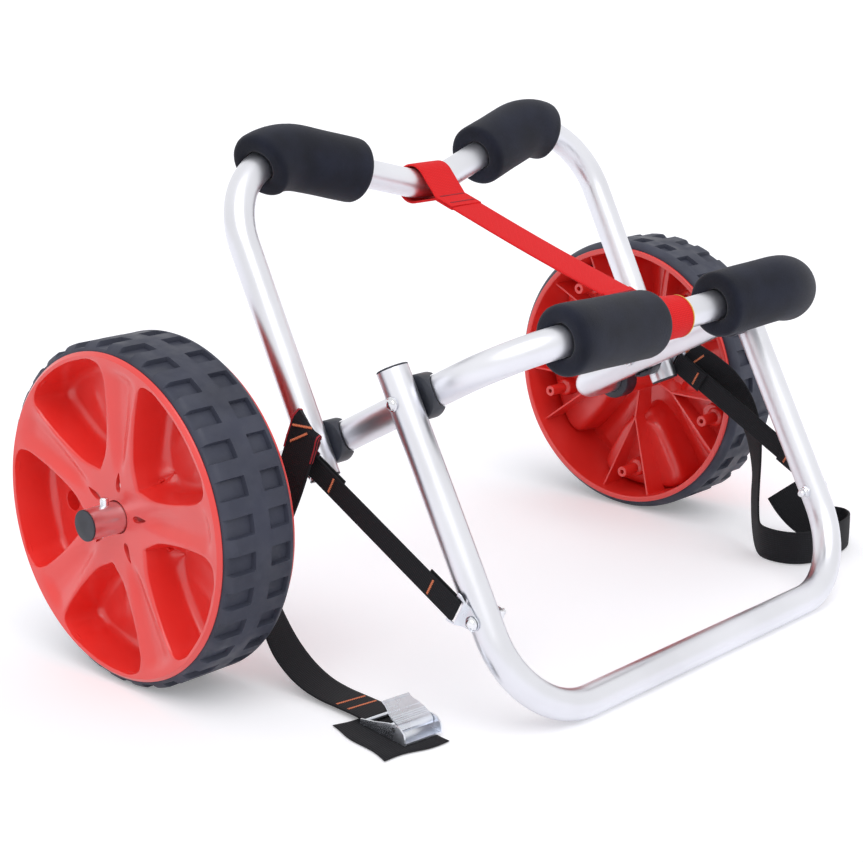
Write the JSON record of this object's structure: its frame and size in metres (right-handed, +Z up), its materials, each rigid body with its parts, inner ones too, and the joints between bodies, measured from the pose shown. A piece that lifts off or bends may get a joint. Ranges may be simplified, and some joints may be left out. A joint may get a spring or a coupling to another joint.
{
  "type": "kayak cart",
  "caption": "Folding kayak cart: two crossed bent-tube cradle frames with foam pads, a U-shaped kickstand, spoked wheels with block-tread tyres, strap slings and a cam buckle hull strap.",
  "frame": {"origin": "on the floor under the middle of the cart, midway between the kickstand's bar and the backs of the tyres", "axes": "+X along the axle to the right-hand wheel, +Y from the kickstand towards the wheels, +Z up"},
  "size_m": [0.778, 0.4648, 0.4304],
  "materials": {
    "anodised_tube": "satin anodised",
    "red_plastic": "gloss moulded",
    "tyre_rubber": "matt",
    "black_plastic": "satin moulded",
    "foam": "matt closed-cell foam",
    "red_webbing": "woven",
    "black_webbing": "woven",
    "zinc_plate": "zinc plated",
    "bright_steel": "bright plated"
  },
  "bodies": {
    "front_frame": {"front_frame_tube": "anodised_tube", "left_axle_plug": "black_plastic", "right_axle_plug": "black_plastic", "left_button_spring": "zinc_plate", "right_button_spring": "zinc_plate", "left_axle_spacer": "black_plastic", "right_axle_spacer": "black_plastic", "left_rear_frame_spacer": "black_plastic", "right_rear_frame_spacer": "black_plastic", "left_kickstand_spacer": "black_plastic", "right_kickstand_spacer": "black_plastic", "left_rear_frame_bolt": "bright_steel", "right_rear_frame_bolt": "bright_steel", "left_rear_frame_nut": "bright_steel", "right_rear_frame_nut": "bright_steel", "left_kickstand_bolt": "bright_steel", "right_kickstand_bolt": "bright_steel", "left_kickstand_nut": "bright_steel", "right_kickstand_nut": "bright_steel", "left_upper_strap_bracket": "zinc_plate", "right_upper_strap_bracket": "zinc_plate", "left_stay_strap": "black_webbing", "right_stay_strap": "black_webbing", "front_left_pad": "foam", "front_right_pad": "foam", "red_strap_front_loop": "red_webbing", "red_strap_span": "red_webbing", "left_hull_strap": "black_webbing", "right_hull_strap": "black_webbing", "buckle_patch": "black_webbing", "cam_buckle_frame": "zinc_plate", "cam_buckle_pin": "bright_steel", "cam_buckle_spring": "zinc_plate"},
    "rear_frame": {"rear_frame_tube": "anodised_tube", "left_rear_frame_cap": "black_plastic", "right_rear_frame_cap": "black_plastic", "rear_left_pad": "foam", "rear_right_pad": "foam", "red_strap_rear_loop": "red_webbing"},
    "kickstand": {"kickstand_tube": "anodised_tube", "left_kickstand_cap": "black_plastic", "right_kickstand_cap": "black_plastic", "left_strap_bolt": "bright_steel", "right_strap_bolt": "bright_steel", "left_strap_nut": "bright_steel", "right_strap_nut": "bright_steel", "left_lower_strap_bracket": "zinc_plate", "right_lower_strap_bracket": "zinc_plate"},
    "left_wheel_body": {"left_wheel": "red_plastic", "left_tyre": "tyre_rubber"},
    "right_wheel_body": {"right_wheel": "red_plastic", "right_tyre": "tyre_rubber"},
    "left_button": {"left_snap_button": "bright_steel"},
    "right_button": {"right_snap_button": "bright_steel"},
    "buckle_lever": {"cam_buckle_lever": "zinc_plate"}
  },
  "joints": [
    {"name": "rear_frame_fold", "type": "hinge", "parent": "front_frame", "child": "rear_frame", "pos_m": [0, 0.00456, 0.18811], "axis": [1, 0, 0], "range_deg": [0, 60], "deforming": ["red_strap_span"]},
    {"name": "kickstand_fold", "type": "hinge", "parent": "front_frame", "child": "kickstand", "pos_m": [0, -0.0957, 0.24277], "axis": [1, 0, 0], "range_deg": [0, 65], "deforming": ["left_stay_strap", "right_stay_strap"]},
    {"name": "left_wheel_spin", "type": "hinge", "parent": "front_frame", "child": "left_wheel_body", "pos_m": [-0.3275, 0.0928, 0.14], "axis": [1, 0, 0], "continuous": true},
    {"name": "right_wheel_spin", "type": "hinge", "parent": "front_frame", "child": "right_wheel_body", "pos_m": [0.3275, 0.0928, 0.14], "axis": [1, 0, 0], "continuous": true},
    {"name": "left_button_press", "type": "slide", "parent": "front_frame", "child": "left_button", "axis": [0, 0, -1], "range_m": [0, 0.006], "stiffness_N_per_m": 800, "springref_m": -0.004, "deforming": ["left_button_spring"]},
    {"name": "right_button_press", "type": "slide", "parent": "front_frame", "child": "right_button", "axis": [0, 0, -1], "range_m": [0, 0.006], "stiffness_N_per_m": 800, "springref_m": -0.004, "deforming": ["right_button_spring"]},
    {"name": "buckle_lever_press", "type": "hinge", "parent": "front_frame", "child": "buckle_lever", "pos_m": [-0.27286, -0.14795, 0.0105], "axis": [-0.9938, 0.1115, 0], "range_deg": [0, 30], "stiffness_Nm_per_rad": 0.05, "springref_deg": -22.92}
  ]
}
